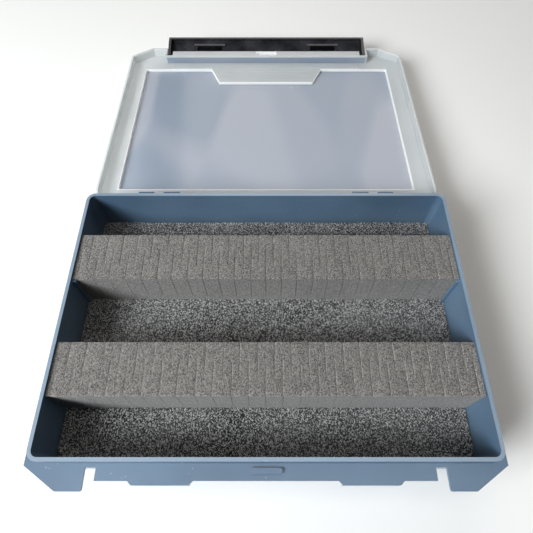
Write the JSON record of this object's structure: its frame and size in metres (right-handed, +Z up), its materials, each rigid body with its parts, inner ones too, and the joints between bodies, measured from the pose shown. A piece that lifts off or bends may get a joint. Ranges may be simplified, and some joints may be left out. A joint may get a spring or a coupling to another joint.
{
  "type": "jig box",
  "caption": "Deep rectangular lure case in moulded plastic with a hinged frosted lid lying open, a full-width latch bar and slit foam strips dividing the tub into bays",
  "frame": {"origin": "middle of the tub's flat underside", "axes": "+X to the right, +Y towards the hinges, +Z up out of the tub; the lid lies open beyond +Y"},
  "size_m": [0.255, 0.3919, 0.05],
  "materials": {
    "tub_plastic": "satin translucent blue-grey",
    "lid_plastic": "clear window with frosted border",
    "latch_plastic": "gloss black",
    "pin_steel": "plain",
    "foam_sheet": "open-pored dark foam",
    "foam_strip": "fine-celled dark grey foam"
  },
  "bodies": {
    "tub": {"base_shell": "tub_plastic", "hinge_pins": "pin_steel", "foam_sheet": "foam_sheet", "foam_strip_rear": "foam_strip", "foam_strip_front": "foam_strip"},
    "lid": {"lid_shell": "lid_plastic"},
    "latch": {"latch_bar": "latch_plastic"}
  },
  "joints": [
    {"name": "lid_hinge", "type": "hinge", "parent": "tub", "child": "lid", "pos_m": [0, 0.0905, 0.0405], "axis": [1, 0, 0], "range_deg": [0, 184.4]},
    {"name": "latch_hinge", "type": "hinge", "parent": "lid", "child": "latch", "pos_m": [0, 0.27173, 0.01703], "axis": [1, 0, 0], "range_deg": [-30, 60]}
  ]
}
